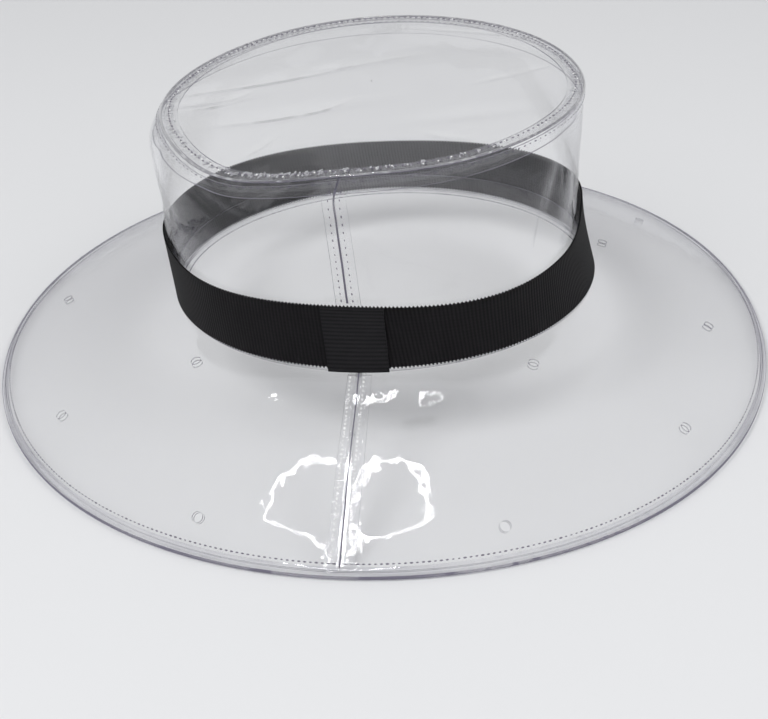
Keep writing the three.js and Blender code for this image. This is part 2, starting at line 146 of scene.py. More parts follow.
def smooth_table(keys, rows, at):
    """Values between the rows of a table; a row's slope is the mean of those on its two sides."""
    keys, rows = np.array(keys, float), np.array(rows, float)
    steps = np.diff(keys)
    slopes = np.diff(rows, axis=0) / steps[:, None]
    tangents = np.vstack([slopes[:1], (slopes[:-1] + slopes[1:]) / 2, slopes[-1:]])
    at = np.clip(at, keys[0], keys[-1])
    i = np.clip(np.searchsorted(keys, at, side="right") - 1, 0, len(steps) - 1)
    span = steps[i][:, None]
    p = (at - keys[i])[:, None] / span
    before = (2 * p**3 - 3 * p**2 + 1) * rows[i] + (p**3 - 2 * p**2 + p) * span * tangents[i]
    after = (3 * p**2 - 2 * p**3) * rows[i + 1] + (p**3 - p**2) * span * tangents[i + 1]
    return (before + after).T


def smooth_step(at, low, high):
    p = np.clip((at - low) / (high - low), 0, 1)
    return p * p * (3 - 2 * p)


def bump(distance, spread):
    return np.exp(-((distance / spread) ** 2))


def fold_depth(rightwards, upwards, length, width, angle, depth):
    angle = math.radians(angle)
    along = rightwards * math.cos(angle) + upwards * math.sin(angle)
    across = upwards * math.cos(angle) - rightwards * math.sin(angle)
    return depth * bump(along, length / 2) * bump(across, width / 2)


def turn_between(start, end):
    return np.arctan2(np.sin(end - start), np.cos(end - start))


def puckers(turn, inwards):
    """Small waves square to the top seam, between its stitches: highest 2.5 mm in, gone 7 mm in."""
    groups = 0.55 + 0.45 * np.sin(turn * PUCKER_GROUPS + 1)
    beat = np.sin(turn * PUCKER_WAVES) * groups + 0.5 * np.sin(turn * PUCKER_CROSSING + 2)
    return PUCKER_DEPTH * beat * bump(inwards - PUCKER_INWARDS, PUCKER_REACH)


def pushes(turn):
    """Pushes out at the band's top, and out and down at the seam, at each turn."""
    return smooth_table(PUSH_TURNS, PUSHES * 3, np.degrees(turn) % 360)


def wall(turn, rise):
    """Points of the crown's wall, in the middle of the film."""
    wide, deep, right, front, back_up, right_up, square = smooth_table(LEVEL_RISES, LEVELS, rise)
    push_band, push_seam, drop = pushes(turn)
    at_band = np.minimum(rise / BAND_TOP, 1) * (1 - smooth_step(rise, BAND_TOP, LEVEL_RISES[3]))
    at_seam = smooth_step(rise, LEVEL_RISES[2], CROWN_WALL)
    out = push_band * at_band + push_seam * at_seam - square * np.cos(4 * turn)
    out = out + puckers(turn, CROWN_WALL - rise)
    held = smooth_step(rise, CROWN_WALL - SEAM_HOLDS, CROWN_WALL)
    free = smooth_step(rise, BAND_TOP, CROWN_WALL / 2) * (1 - held)
    for fold in WALL_FOLDS + WALL_CREASES:
        sideways = turn_between(math.radians(fold[0]), turn) * wide
        out = out - fold_depth(sideways, rise - fold[1], *fold[2:]) * free
    return np.stack((
        CROWN_PLACE[0] + right + (wide + out) * np.sin(turn),
        CROWN_PLACE[1] + front - (deep + out) * np.cos(turn),
        CROWN_FOOT + rise - drop * at_seam + back_up * np.cos(turn) + right_up * np.sin(turn),
    ), axis=1)


def lay(form, points):
    """Moves a sheet's points to these places, given in millimetres."""
    for vertex, point in zip(form.verts, points):
        vertex.co = point * MM


def finish_sheet(name, form, thickness, materials, nodes=()):
    """A piece of that thickness from a sheet. Its cut edges are in the last of the materials."""
    mesh = bpy.data.meshes.new(name)
    form.to_mesh(mesh)
    form.free()
    for material in materials:
        mesh.materials.append(material)
    piece = bpy.data.objects.new(name, mesh)
    bpy.context.scene.collection.objects.link(piece)
    solidify = piece.modifiers.new("thickness", "SOLIDIFY")
    solidify.thickness = thickness * MM
    solidify.offset = 0
    solidify.material_offset_rim = len(materials) - 1
    graph = bpy.context.evaluated_depsgraph_get()
    piece.data = bpy.data.meshes.new_from_object(piece.evaluated_get(graph))
    piece.modifiers.clear()
    piece.data.name = name
    return keep(piece, nodes)


def keep(piece, nodes=()):
    """Smooth faces with sharp cut edges, and the piece's place in the frame."""
    piece.data.shade_smooth()
    piece.data.set_sharp_from_angle(angle=SHARP_TURN)
    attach(piece, "root")
    if nodes:
        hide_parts(*nodes)
    return piece


def sheet_grid(turns, rows):
    """A flat grid to be laid on a surface, and its points' turns and row numbers."""
    form = bmesh.new()
    form.loops.layers.uv.new("flat")
    bmesh.ops.create_grid(form, x_segments=turns, y_segments=rows - 1, size=0.5, calc_uvs=True)
    flat = np.array([vertex.co[:2] for vertex in form.verts])
    return form, flat[:, 0] * 2 * math.pi, np.rint((flat[:, 1] + 0.5) * (rows - 1)).astype(int)


def close_ring(form, offset):
    """Joins the ends of a rolled grid, faces it up and out, and moves it off along its normals."""
    bmesh.ops.remove_doubles(form, verts=form.verts, dist=SAME_POINT)
    form.normal_update()
    middle = MM * Vector((*CROWN_PLACE, 0))
    facing = 0
    for face in form.faces:
        sideways = (face.calc_center_median() - middle) * Vector((1, 1, 0))
        facing += face.normal.dot(sideways.normalized() + Vector((0, 0, 1)))
    if facing < 0:
        bmesh.ops.reverse_faces(form, faces=form.faces)
    form.normal_update()
    shifts = [vertex.normal * offset * MM for vertex in form.verts]
    for vertex, shift in zip(form.verts, shifts):
        vertex.co += shift


def ring_sheet(name, surface, rows, offset, materials, node, turns=TURNS, drawn=None):
    """A sheet of film right round the hat. rows are places on the surface, or a function that gives
    them at each turn. drawn picks the points, by turn and row, where stitches draw the film up."""
    count = len(rows(np.zeros(1))) if callable(rows) else len(rows)
    form, turn, row = sheet_grid(turns, count)
    if drawn is not None:
        picked = drawn(turn, row)
        for face in form.faces:
            if all(picked[vertex.index] for vertex in face.verts):
                face.material_index = 1
    if callable(rows):
        along = rows(turn)[row, np.arange(len(turn))]
    else:
        along = np.array(rows)[row]
    lay(form, surface(turn, along))
    close_ring(form, offset)
    sum(face.calc_area() for face in form.faces)
    return finish_sheet(name, form, FILM, materials, [node])


def add_node(tree, kind, **settings):
    """Adds a shader node. Each setting is a property of the node, or else a value of its socket."""
    node = tree.nodes.new(kind)
    for name, value in settings.items():
        if hasattr(node, name):
            setattr(node, name, value)
        else:
            node.inputs[name.replace("_", " ")].default_value = value
    return node


def join(tree, *pairs):
    """Links each pair's output to its input."""
    for source, target in pairs:
        tree.links.new(source, target)


def start_group(name, inputs, outputs):
    """An empty node group with named sockets, and its two end nodes."""
    tree = bpy.data.node_groups.new(name, "ShaderNodeTree")
    for socket, kind, value in inputs:
        made = tree.interface.new_socket(socket, in_out="INPUT", socket_type=kind)
        made.default_value = value
    for socket, kind in outputs:
        tree.interface.new_socket(socket, in_out="OUTPUT", socket_type=kind)
    return tree, tree.nodes.new("NodeGroupInput"), tree.nodes.new("NodeGroupOutput")


def start_material(name):
    """A new material, its node tree and its Principled shader."""
    material = bpy.data.materials.new(name)
    material.use_nodes = True
    tree = material.node_tree
    shader = next(n for n in tree.nodes if n.type == "BSDF_PRINCIPLED")
    return material, tree, shader


# The film's own unevenness. Each kind is a relief of its own: slow waves left by handling with a
# fine skin like orange peel on them, and the puckers that stitches draw up.
def relief_group(name, layers):
    """Noise layers added up to one height. Each has its socket, its scale and its depth."""
    tree, given, ready = start_group(
        name, [(socket, "NodeSocketFloat", 1.0) for socket, *_ in layers], [("Height", "NodeSocketFloat")])
    where = add_node(tree, "ShaderNodeTexCoord")
    height = None
    for socket, noise_scale, depth in layers:
        noise = add_node(tree, "ShaderNodeTexNoise", Scale=noise_scale, Detail=0.0)
        share = add_node(tree, "ShaderNodeMath", operation="MULTIPLY")
        layer = add_node(tree, "ShaderNodeMath", operation="MULTIPLY_ADD")
        layer.inputs[1].default_value = depth
        layer.inputs[2].default_value = 0.0
        join(
            tree,
            (where.outputs["Object"], noise.inputs["Vector"]),
            (noise.outputs["Fac"], share.inputs[0]),
            (given.outputs[socket], share.inputs[1]),
            (share.outputs[0], layer.inputs[0]),
        )
        if height:
            join(tree, (height, layer.inputs[2]))
        height = layer.outputs[0]
    join(tree, (height, ready.inputs["Height"]))
    return tree


ripples = relief_group("film_ripples", (("Waves", 26.0, 1.0), ("Skin", 260.0, 0.04)))
drawn_up = relief_group("film_puckers", (("Waves", 26.0, 1.0), ("Puckers", 420.0, 0.2)))

# What handling leaves on the film: cloudy patches, and fine rubbed streaks in them
handling, given, ready = start_group(
    "film_haze", [("Haze", "NodeSocketFloat", 0.01)], [("Haze", "NodeSocketFloat")])
where = add_node(handling, "ShaderNodeTexCoord")
clouds = add_node(handling, "ShaderNodeTexNoise", Scale=22.0, Detail=1.0, Roughness=0.6)
stretch = add_node(handling, "ShaderNodeMapping", Scale=(90, 700, 400), Rotation=(0.3, 0.2, 0.6))
streaks = add_node(handling, "ShaderNodeTexNoise", Scale=1.0, Detail=0.0)
rubbed = add_node(handling, "ShaderNodeMapRange", From_Min=0.58, From_Max=0.75, To_Min=0.0, To_Max=1.5)
patches = add_node(handling, "ShaderNodeMapRange", From_Min=0.3, From_Max=0.7, To_Min=0.3, To_Max=1.7)
both = add_node(handling, "ShaderNodeMath", operation="ADD")
amount = add_node(handling, "ShaderNodeMath", operation="MULTIPLY")
join(
    handling,
    (where.outputs["Object"], clouds.inputs["Vector"]),
    (where.outputs["Object"], stretch.inputs["Vector"]),
    (stretch.outputs["Vector"], streaks.inputs["Vector"]),
    (streaks.outputs["Fac"], rubbed.inputs["Value"]),
    (clouds.outputs["Fac"], patches.inputs["Value"]),
    (rubbed.outputs["Result"], both.inputs[0]),
    (patches.outputs["Result"], both.inputs[1]),
    (both.outputs[0], amount.inputs[0]),
    (given.outputs["Haze"], amount.inputs[1]),
    (amount.outputs[0], ready.inputs["Haze"]),
)


# Clear film mirrors this share of its mirror value face on, and the rest by this power of the slant
FACE_ON, SLANT_POWER = 0.04, 5.0


def clear_film(name, tint, mirror, haze, roughness, metallic=1.0, waves=1.0, skin=1.0, drawn=0.0):
    """Clear vinyl. Its alpha is what a face mirrors, little face on and more at a slant, and its haze."""
    material, tree, shader = start_material(name)
    shader.inputs["Base Color"].default_value = (*tint, 1)
    shader.inputs["Metallic"].default_value = metallic
    shader.inputs["Roughness"].default_value = roughness
    slant = add_node(tree, "ShaderNodeLayerWeight", Blend=0.5)
    steep = add_node(tree, "ShaderNodeMath", operation="POWER")
    steep.inputs[1].default_value = SLANT_POWER
    mirrored = add_node(tree, "ShaderNodeMath", operation="MULTIPLY_ADD")
    mirrored.inputs[1].default_value = mirror
    mirrored.inputs[2].default_value = FACE_ON * mirror
    cloudy = add_node(tree, "ShaderNodeGroup", node_tree=handling)
    cloudy.inputs["Haze"].default_value = haze
    alpha = add_node(tree, "ShaderNodeMath", operation="ADD", use_clamp=True)
    relief = add_node(tree, "ShaderNodeGroup", node_tree=drawn_up if drawn else ripples)
    relief.inputs["Waves"].default_value = waves
    relief.inputs["Puckers" if drawn else "Skin"].default_value = drawn or skin
    dent = add_node(tree, "ShaderNodeBump", Strength=1.0, Distance=0.002)
    join(
        tree,
        (slant.outputs["Facing"], steep.inputs[0]),
        (steep.outputs[0], mirrored.inputs[0]),
        (mirrored.outputs[0], alpha.inputs[0]),
        (cloudy.outputs["Haze"], alpha.inputs[1]),
        (alpha.outputs[0], shader.inputs["Alpha"]),
        (relief.outputs["Height"], dent.inputs["Height"]),
        (dent.outputs["Normal"], shader.inputs["Normal"]),
    )
    return material


panel_vinyl = clear_film("panel_vinyl", (0.9, 0.9, 0.93), 0.6, 0.004, 0.045, waves=0.35)
drawn_vinyl = clear_film("drawn_vinyl", (0.92, 0.92, 0.96), 1.2, 0.01, 0.07, waves=0.35, drawn=2.4)
# painted shade: the cut edges and the vent holes' walls get a dark film, standing in for the shade of
# vinyl seen edge on
cut_edge_shade = clear_film("cut_edge_shade", (0.16, 0.15, 0.2), 6.0, 0.14, 0.3, metallic=0.0)

# rows of points: few behind the band, more up the free wall, close together where it puckers
DRAWN_WALL = 77.0
WALL_ROWS = [*np.linspace(0.3, 20, 6), *np.linspace(22, 76, 42), *np.linspace(DRAWN_WALL, 81.4, 12)]
crown_side = ring_sheet(
    "crown_side_film", wall, WALL_ROWS, 0.0, (panel_vinyl, drawn_vinyl, cut_edge_shade), "crown_side",
    drawn=lambda turn, row: np.array(WALL_ROWS)[row] > DRAWN_WALL)

# The crown's top. An oval of the same vinyl, sewn face to face to the wall and turned back, so
# that the seam makes a crisp edge. The oval stands slack and has a few long creases.
TIP_DOME = 1.6
# the folds fade out towards the seam by this power of the share
TIP_FADE = 6
# right and front of the middle, length, width, way, depth
TIP_FOLDS = (
    (-38, 12, 78, 12, 24, 1.5),
    (-66, -16, 34, 10, 14, 1.6),
    (-30, -34, 62, 11, 20, 1.1),
    (46, 44, 70, 18, -14, 1.2),
    (42, -40, 50, 12, 16, 0.9),
)
# the same columns, for the narrow creases
TIP_CREASES = (
    (-61, -22, 20, 2.6, 24, 1.3),
    (-52, -10, 12, 2.2, 38, 1.0),
    (-44, 8, 60, 3.4, 24, 1.3),
    (-32, -34, 34, 2.8, 22, 1.3),
    (-14, -26, 18, 2.4, 34, 1.0),
    (-34, -64, 16, 2.4, 60, 1.0),
    (-10, 26, 40, 3.0, 18, 0.9),
    (34, -62, 16, 3.2, -20, 1.0),
    (44, 66, 60, 4.0, -16, 1.1),
    (58, 10, 34, 3.0, 40, 0.9),
)
# the top panel's puckers stand between the wall's, so their waves start this much further round
TIP_PUCKER_TURN = 0.3


def tip(turn, share):
    """Points of the top panel. share is 0 in its middle and 1 at the seam."""
    wide, deep, right, front, back_up, right_up, _ = smooth_table(
        LEVEL_RISES, LEVELS, np.full_like(turn, CROWN_WALL))
    _, push_seam, drop = pushes(turn)
    rightwards = (wide + push_seam) * np.sin(turn) * share
    frontwards = -(deep + push_seam) * np.cos(turn) * share
    rise = TIP_DOME * (1 - share**2) - drop * share**2
    rise = rise + puckers(turn + TIP_PUCKER_TURN, (1 - share) * wide)
    for fold in TIP_FOLDS + TIP_CREASES:
        depth = fold_depth(rightwards - fold[0], frontwards - fold[1], *fold[2:])
        rise = rise - depth * (1 - share**TIP_FADE)
    tilt = share * (back_up * np.cos(turn) + right_up * np.sin(turn))
    return np.stack((
        CROWN_PLACE[0] + right + rightwards,
        CROWN_PLACE[1] + front + frontwards,
        CROWN_FOOT + CROWN_WALL + tilt + rise,
    ), axis=1)


def tip_inwards(turn, inwards):
    """Points of the top panel, at distances in millimetres in from the seam."""
    return tip(turn, 1 - inwards / LEVELS[-1][0])


# rings of points from the middle, which they close to a pinhole, to the seam
TIP_SHARES = [0.002, *np.linspace(0.02, 0.92, 68), *np.linspace(0.93, 1.0, 14)]
DRAWN_TIP = 0.94
crown_tip = ring_sheet(
    "crown_tip_film", tip, TIP_SHARES, 0.0, (panel_vinyl, drawn_vinyl, cut_edge_shade), "crown_tip",
    turns=500, drawn=lambda turn, row: np.array(TIP_SHARES)[row] > DRAWN_TIP)

# The top seam. The two panels are sewn face to face and turned, so that their folded edges meet
# in a crisp ridge. Two rows of clear thread, one on the top and one on the wall, hold the
# allowances down, and the film draws up into small puckers between the stitches.
RIDGE, RIDGE_CORNERS = 0.48, 10
# the ridge's middle is this far under the seam line
RIDGE_DROP = 0.1


def section_ring(name, place, materials, sides, nodes=()):
    """A closed section carried round the hat. sides gives the material number of each side."""
    corners = len(sides)
    form, turn, row = sheet_grid(TURNS, corners + 1)
    for face in form.faces:
        face.material_index = sides[min(row[vertex.index] for vertex in face.verts)]
    lay(form, place(turn, row % corners))
    bmesh.ops.remove_doubles(form, verts=form.verts, dist=SAME_POINT)
    bmesh.ops.recalc_face_normals(form, faces=form.faces)
    mesh = bpy.data.meshes.new(name)
    form.to_mesh(mesh)
    form.free()
    for material in materials:
        mesh.materials.append(material)
    piece = bpy.data.objects.new(name, mesh)
    bpy.context.scene.collection.objects.link(piece)
    return keep(piece, nodes)


def ridge(turn, corner):
    """Points of the ridge's round section. Its first half turn is the upper side."""
    middle = wall(turn, np.full_like(turn, CROWN_WALL))
    angle = 2 * math.pi * corner / RIDGE_CORNERS
    middle[:, 0] += RIDGE * np.cos(angle) * np.sin(turn)
    middle[:, 1] -= RIDGE * np.cos(angle) * np.cos(turn)
    middle[:, 2] += RIDGE * np.sin(angle) - RIDGE_DROP
    return middle


fold_vinyl = clear_film("fold_vinyl", (0.98, 0.98, 1.0), 2.0, 0.3, 0.12, waves=0.2, skin=0.6)
# painted shade: dark film standing in for the shade where folds meet and where film is seen edge on
fold_shade = clear_film("fold_shade", (0.15, 0.14, 0.19), 9.0, 0.35, 0.35, metallic=0.0, waves=0.2)
# the white film on the upper side, and painted shade between the folds on the lower
RIDGE_SIDES = [0] * (RIDGE_CORNERS // 2) + [1] * (RIDGE_CORNERS // 2)
section_ring("top_seam_ridge", ridge, (fold_vinyl, fold_shade), RIDGE_SIDES)

# the step, in radians or millimetres, that gives a surface's slope, and the height in millimetres
# that makes the way off the hat look up as well as out
SHORT_STEP, LOOK_UP = 0.002, 60.0


def seam_frames(surface, turn, along):
    """Places on a surface, and there the way round the hat, the way across that, and the way off."""
    here = surface(turn, along)
    around = surface(turn + SHORT_STEP, along) - here
    across = surface(turn, along + SHORT_STEP) - here
    around /= np.linalg.norm(around, axis=1)[:, None]
    away = np.cross(around, across)
    away /= np.linalg.norm(away, axis=1)[:, None]
    outwards = here - np.array([CROWN_PLACE[0], CROWN_PLACE[1], 0.0])
    outwards[:, 2] = LOOK_UP
    away *= np.sign((away * outwards).sum(axis=1))[:, None]
    return here, around, np.cross(away, around), away


# the smallest and the largest stitch, as shares of the size asked for
STITCH_SIZES = (0.75, 1.2)


def sew(name, rows, material):
    """Rows of stitches. Each row has its places, its way along, its way off the film, the lift off
    the middle of the film, and a stitch's length, width and height."""
    form = bmesh.new()
    for places, ways, off, lift, length, width, height in rows:
        for place, way, away in zip(places, ways, off):
            grown = random.uniform(*STITCH_SIZES)
            side = np.cross(away, way)
            halves = (way * length * grown / 2, side * width * grown / 2, away * height / 2)
            axes = Matrix(halves).transposed()
            seat = Matrix.Translation(Vector(place + away * lift) * MM) @ (axes * MM).to_4x4()
            seat[3][3] = 1
            bmesh.ops.create_icosphere(form, subdivisions=1, radius=1.0, matrix=seat)
    bmesh.ops.recalc_face_normals(form, faces=form.faces)
    mesh = bpy.data.meshes.new(name)
    form.to_mesh(mesh)
    form.free()
    mesh.materials.append(material)
    piece = bpy.data.objects.new(name, mesh)
    bpy.context.scene.collection.objects.link(piece)
    return keep(piece)


def thread(name, colour, roughness, alpha):
    """Clear nylon thread, painted in the colour given (white for painted glints, dark for painted shade),
    with painted light and shade along its twist.
    """
    material, tree, shader = start_material(name)
    shader.inputs["Roughness"].default_value = roughness
    shader.inputs["Alpha"].default_value = alpha
    where = add_node(tree, "ShaderNodeTexCoord")
    twist = add_node(tree, "ShaderNodeTexNoise", Scale=900.0, Detail=1.0)
    tone = add_node(tree, "ShaderNodeValToRGB")
    tone.color_ramp.elements[0].position, tone.color_ramp.elements[1].position = 0.35, 0.65
    tone.color_ramp.elements[0].color = (*(0.7 * part for part in colour), 1)
    tone.color_ramp.elements[1].color = (*colour, 1)
    dent = add_node(tree, "ShaderNodeBump", Strength=0.5, Distance=0.0001)
    join(
        tree,
        (where.outputs["Object"], twist.inputs["Vector"]),
        (twist.outputs["Fac"], tone.inputs["Fac"]),
        (tone.outputs["Color"], shader.inputs["Base Color"]),
        (twist.outputs["Fac"], dent.inputs["Height"]),
        (dent.outputs["Normal"], shader.inputs["Normal"]),
    )
    return material


random.seed(5)
# painted glints: clear thread coloured white where the stitches catch the light
painted_glint_thread = thread("painted_glint_thread", (1.0, 1.0, 1.0), 0.15, 0.95)
# painted shade: clear thread coloured dark where the stitches show as dark dots
painted_shade_thread = thread("painted_shade_thread", (0.2, 0.18, 0.24), 0.35, 0.7)
# a stitch lies this far off the middle of its film
ON_FILM = FILM / 2 + 0.08
TOP_STITCHES = 190
TIP_ROW_IN, WALL_ROW_DOWN = 3.2, 2.6
# length, width and height of a stitch
TIP_STITCH, WALL_STITCH, LOOP = (1.3, 0.8, 0.45), (1.2, 0.5, 0.35), (0.7, 0.8, 0.6)
stitch_turns = np.arange(TOP_STITCHES) * 2 * math.pi / TOP_STITCHES
places, ways, _, away = seam_frames(tip_inwards, stitch_turns, np.full(TOP_STITCHES, TIP_ROW_IN))
tip_row = (places, ways, away, ON_FILM, *TIP_STITCH)
places, ways, _, away = seam_frames(wall, stitch_turns, np.full(TOP_STITCHES, CROWN_WALL - WALL_ROW_DOWN))
wall_row = (places, ways, away, ON_FILM, *WALL_STITCH)
sew("top_seam_stitches", [tip_row, wall_row], painted_shade_thread)
# loops of thread between every second pair of stitches, painted white as glints: the nearest to the
# seam, how far they stray from there, and how often they do so round the crown
LOOPS_IN, LOOPS_STRAY, LOOPS_BEAT = 2.2, 1.6, 37
loop_turns = stitch_turns[::2] + math.pi / TOP_STITCHES
places, ways, _, away = seam_frames(
    tip_inwards, loop_turns, LOOPS_IN + LOOPS_STRAY * np.sin(loop_turns * LOOPS_BEAT) ** 2)
sew("top_seam_loops", [(places, ways, away, ON_FILM, *LOOP)], painted_glint_thread)

# The tucks: short clear ridges that run in from the seam. Three fifths of them crowd a little to
# the left of the centre back, and the rest are anywhere.
tuck_vinyl = clear_film("tuck_vinyl", (0.96, 0.96, 0.99), 6.0, 0.08, 0.12, waves=0.0)
TUCKS, CROWD_TURN, CROWD_SPREAD = 150, -0.45, 0.5
TUCK = (2.6, 0.7, 0.7)
# the least and the most: distance in from the seam, and slant
TUCK_IN, TUCK_SLANT = (2.2, 4.6), (-0.2, 0.8)
crowded = [random.gauss(CROWD_TURN, CROWD_SPREAD) for tuck in range(TUCKS * 3 // 5)]
strewn = [random.uniform(-math.pi, math.pi) for tuck in range(TUCKS * 2 // 5)]
tuck_turns = np.array(crowded + strewn)
places, ways, across, away = seam_frames(
    tip_inwards, tuck_turns, np.array([random.uniform(*TUCK_IN) for tuck in tuck_turns]))
slants = np.array([[random.uniform(*TUCK_SLANT)] for tuck in tuck_turns])
inwards = across + slants * ways
inwards /= np.linalg.norm(inwards, axis=1)[:, None]
sew("top_seam_tucks", [(places, inwards, away, FILM / 2, *TUCK)], tuck_vinyl)

# The seam allowances: narrow strips of the same film, where the panels' edges are turned in and
# stitched down. They lie against the inside of the top panel, the wall and the crown's foot.
ALLOWANCE = 5.0
# where the strips start: in from the tip seam, and up the wall at its top and its foot
TIP_STRIP, SIDE_STRIP, HEAD_STRIP = 1.3, 74.5, 1.9
HEAD_STRIP_TOP = 8.5
# from the middle of the panel to the middle of the strip behind it. The head seam's strip and,
# on the other side, the band stand further off.
TUCKED_IN, STAND_OFF = 0.9, 1.3
STRIP_ROWS, HEAD_ROWS = 7, 4
ring_sheet(
    "tip_allowance_film", tip_inwards, np.linspace(TIP_STRIP, TIP_STRIP + ALLOWANCE, STRIP_ROWS),
    -TUCKED_IN, (panel_vinyl, cut_edge_shade), "tip_allowance")
ring_sheet(
    "side_allowance_film", wall, np.linspace(SIDE_STRIP, SIDE_STRIP + ALLOWANCE, STRIP_ROWS),
    -TUCKED_IN, (panel_vinyl, cut_edge_shade), "side_allowance")
ring_sheet(
    "head_seam_film", wall, np.linspace(HEAD_STRIP, HEAD_STRIP_TOP, HEAD_ROWS),
    -STAND_OFF, (panel_vinyl, cut_edge_shade), "head_seam")


def back_strip(
        name, surface, materials, nodes=(), *,
        start, end, width, offset, rows, columns, thickness, lean=0.0):
    """A strip down the centre back, laid on a surface. Its end leans to the right."""
    form = bmesh.new()
    form.loops.layers.uv.new("flat")
    bmesh.ops.create_grid(form, x_segments=columns, y_segments=rows, size=0.5, calc_uvs=True)
    flat = np.array([vertex.co[:2] for vertex in form.verts])
    along = start + (flat[:, 1] + 0.5) * (end - start)
    reach = np.abs(surface(np.zeros_like(along), along)[:, 1] - CROWN_PLACE[1])
    lay(form, surface((flat[:, 0] * width + lean * (flat[:, 1] + 0.5)) / reach, along))
    close_ring(form, offset)
    return finish_sheet(name, form, thickness, materials, nodes)


BACK_STRIP_WIDTH = 9.6
back_strip(
    "crown_back_seam_film", wall, (panel_vinyl, cut_edge_shade), ["crown_back_seam"], start=8.8, end=74.2,
    width=BACK_STRIP_WIDTH, offset=-TUCKED_IN, rows=40, columns=12, thickness=FILM)

# The crown's seam at the centre back. The folds of the wall's two ends meet in a thin line, painted
# as a strip of dark shade, with a row of clear stitches, painted in shade, down each side of it.
BACK_ROW_APART, BACK_PITCH = 2.25, 3.3
BACK_STITCH = (1.2, 0.5, 0.3)
# painted shade: a thin dark strip where the two folds meet
back_strip(
    "crown_back_shade_line", wall, (fold_shade,), start=25.5, end=81.2,
    width=0.75, offset=0.3, rows=60, columns=2, thickness=0.3)


def down_the_back(surface, start, end, pitch, sideways):
    """A row of stitches down the centre back: their places, the way along it, and the way off."""
    along = np.arange(start, end, pitch)
    reach = np.abs(surface(np.zeros_like(along), along)[:, 1] - CROWN_PLACE[1])
    places, _, down, away = seam_frames(surface, sideways / reach, along)
    return places, down, away


sew("crown_back_stitches", [
    (*down_the_back(wall, 26.5, 79.0, BACK_PITCH, sideways), ON_FILM, *BACK_STITCH)
    for sideways in (-BACK_ROW_APART, BACK_ROW_APART)], painted_shade_thread)

# The brim. Two plies of film, sewn together at the outer edge, turned and topstitched. It slopes
# down from the crown and waves a little, most on both sides of the stiff centre back seam.
# Fifteen round vent holes are punched through both plies.
BRIM_BOW = 2.0
EDGE_WIDTH, EDGE_HEIGHT = 2.6, 2.5
# valley and ripples fade out over this part of the width at the foot and at the edge
BRIM_FADE = 0.2
BRIM_TURNS = tuple(range(-360, 720, 45))
BRIM_WIDTHS = (74.3, 76.3, 72.5, 75.1, 75.5, 79.1, 78.8, 77.0)
# turn and distance out (0 at the foot, 1 at the edge), spread in degrees and mm, height
BRIM_RIPPLES = (
    (-13, 0.24, 9, 9, -2.8),
    (12, 0.22, 9, 9, -3.2),
    (46, 0.72, 9, 16, 1.8),
    (34, 0.66, 7, 18, -1.2),
    (-118, 0.6, 12, 20, 1.5),
    (112, 0.6, 12, 20, 1.5),
    (168, 0.5, 14, 22, -1.4),
)
# the stiff back seam holds the brim down in a shallow valley: its slope, and how far it reaches
VALLEY_SLOPE, VALLEY_REACH = 0.085, 80.0


def brim_width(turn):
    """The brim's width in millimetres at each turn."""
    degrees = np.degrees(turn) % 360
    return smooth_table(BRIM_TURNS, [[width] for width in BRIM_WIDTHS * 3], degrees)[0]


def brim(turn, distance):
    """Points of the brim, between its plies, at distances in millimetres from the crown's foot."""
    width = brim_width(turn)
    share = distance / width
    foot = wall(turn, np.zeros_like(turn))
    outward = np.stack((np.sin(turn) / LEVELS[0][0], -np.cos(turn) / LEVELS[0][1]), axis=1)
    outward /= np.linalg.norm(outward, axis=1)[:, None]
    fade = smooth_step(share, 0, BRIM_FADE) * (1 - smooth_step(share, 1 - BRIM_FADE, 1))
    rise = BRIM_BOW * np.sin(math.pi * np.clip(share, 0, 1))
    sideways = np.abs(turn_between(0.0, turn)) * (LEVELS[0][1] + distance)
    rise = rise + VALLEY_SLOPE * sideways * bump(sideways, VALLEY_REACH) * fade
    for ripple_turn, out, spread_turn, spread_out, height in BRIM_RIPPLES:
        round_it = np.degrees(turn_between(math.radians(ripple_turn), turn))
        rise = rise + height * bump(round_it, spread_turn) * bump((share - out) * width, spread_out) * fade
    return np.stack((
        foot[:, 0] + outward[:, 0] * distance,
        foot[:, 1] + outward[:, 1] * distance,
        foot[:, 2] * (1 - share) + EDGE_HEIGHT / 2 * share + rise,
    ), axis=1)


# turn and distance out of each vent (0 at the foot, 1 at the edge)
VENTS = (
    (20.2, 0.861), (53, 0.786), (81.8, 0.667), (125.5, 0.687), (162, 0.74),
    (-19, 0.856), (-52.5, 0.766), (-89.8, 0.716), (-126, 0.7), (-162, 0.74),
    (38.8, 0.164), (108.2, 0.149), (180, 0.15), (-38.8, 0.179), (-108, 0.155),
)
VENT_RADIUS, VENT_SIDES, ROD_LENGTH = 2.0, 28, 10
# the plies run this far into the turned edge
INTO_EDGE = 0.6
PLY_ROWS = 44


def ply_rows(start):
    """Rows of a ply from that distance out to inside the turned edge, at each turn."""
    shares = np.linspace(0, 1, PLY_ROWS)
    return lambda turn: start + shares[:, None] * (
        brim_width(turn)[None, :] - EDGE_WIDTH + INTO_EDGE - start)


